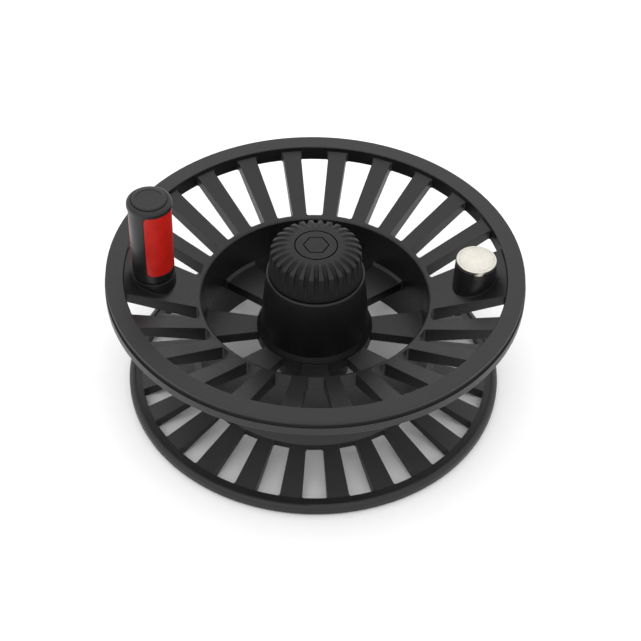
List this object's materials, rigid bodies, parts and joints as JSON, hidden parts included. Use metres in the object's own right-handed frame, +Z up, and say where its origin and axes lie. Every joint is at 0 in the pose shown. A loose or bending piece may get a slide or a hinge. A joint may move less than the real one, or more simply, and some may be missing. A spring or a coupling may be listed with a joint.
{
  "type": "fly reel spool",
  "caption": "Ventilated large-arbor fly reel spool with palming rim, dished face, spinning handle, counterweight and fluted release knob.",
  "frame": {"origin": "on the spool axis, in the plane of the frame-side flange face that the spool stands on", "axes": "+Z up along the spool axis towards the handle side; -X towards the handle; +X towards the counterweight"},
  "size_m": [0.0904, 0.0904, 0.0519],
  "materials": {
    "black_casting": "satin black coat",
    "black_grip": "moulded, satin gloss",
    "red_inlay": "moulded red, soft gloss",
    "black_knob": "moulded, fine texture",
    "turned_metal": "bright turned face",
    "steel": "plain steel",
    "bronze": "sintered bronze",
    "nylon": "natural nylon",
    "seal_rubber": "nitrile rubber"
  },
  "bodies": {
    "spool": {"spool_body": "black_casting", "handle_pin": "steel", "handle_nut": "steel", "handle_washer": "nylon", "counterweight": "turned_metal", "counterweight_screw": "steel", "knob_washer": "nylon", "hub_bushing": "bronze", "bearing_shell": "steel", "hub_seal": "seal_rubber", "hub_circlip": "steel"},
    "handle": {"handle_grip": "black_grip", "handle_inlay_front": "red_inlay", "handle_inlay_rear": "red_inlay", "handle_cap": "black_grip", "handle_sleeve_lower": "nylon", "handle_sleeve_upper": "nylon"},
    "knob": {"release_knob": "black_knob", "knob_screw": "steel", "knob_clip": "steel", "knob_seal": "seal_rubber"},
    "cage": {"bearing_cage": "steel", "bearing_rollers": "steel"}
  },
  "joints": [
    {"name": "handle_spin", "type": "hinge", "parent": "spool", "child": "handle", "pos_m": [-0.0348, 0, 0.04], "axis": [0, 0, 1], "continuous": true},
    {"name": "knob_turn", "type": "hinge", "parent": "spool", "child": "knob", "pos_m": [0, 0, 0.03], "axis": [0, 0, 1], "continuous": true},
    {"name": "bearing_turn", "type": "hinge", "parent": "spool", "child": "cage", "pos_m": [0, 0, 0.0114], "axis": [0, 0, 1], "continuous": true}
  ]
}
